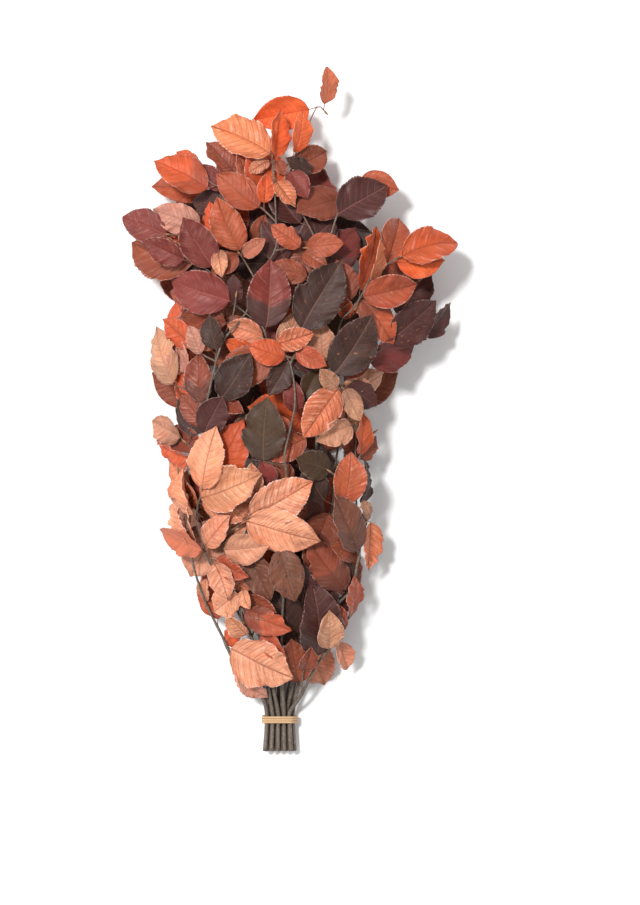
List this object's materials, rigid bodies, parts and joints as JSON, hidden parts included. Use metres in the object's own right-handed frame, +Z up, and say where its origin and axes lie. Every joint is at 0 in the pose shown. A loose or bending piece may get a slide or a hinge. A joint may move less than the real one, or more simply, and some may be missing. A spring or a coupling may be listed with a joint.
{
  "type": "beech leaf bunch",
  "caption": "Bunch of cut, preserved copper beech sprays with dry red-brown to peach leaves, lying flat, its bare stems gathered in a rubber band.",
  "frame": {"origin": "middle of the box of the whole bunch, on the surface that it lies on", "axes": "+Z up from the table, +Y along the stems from the cut ends to the leafy top, +X to the right as seen from above with the top away"},
  "size_m": [0.3868, 0.7904, 0.1227],
  "materials": {
    "peach_leaves": "dry leaves, soft sheen",
    "copper_leaves": "dry leaves, soft sheen",
    "red_leaves": "dry leaves, soft sheen",
    "dark_leaves": "dry leaves, soft sheen",
    "rubber": "matt"
  },
  "bodies": {
    "root": {"rubber_band": "rubber", "spray_centre": "dark_leaves", "spray_left_arch": "peach_leaves", "spray_left_side": "red_leaves", "spray_left_tall": "copper_leaves", "spray_low_centre": "red_leaves", "spray_low_left": "red_leaves", "spray_low_right": "dark_leaves", "spray_mid_left": "red_leaves", "spray_mid_right": "dark_leaves", "spray_peach": "peach_leaves", "spray_right_edge": "copper_leaves", "spray_right_low": "peach_leaves", "spray_right_main": "copper_leaves", "spray_right_upper": "red_leaves", "spray_second_left": "dark_leaves"}
  },
  "joints": []
}
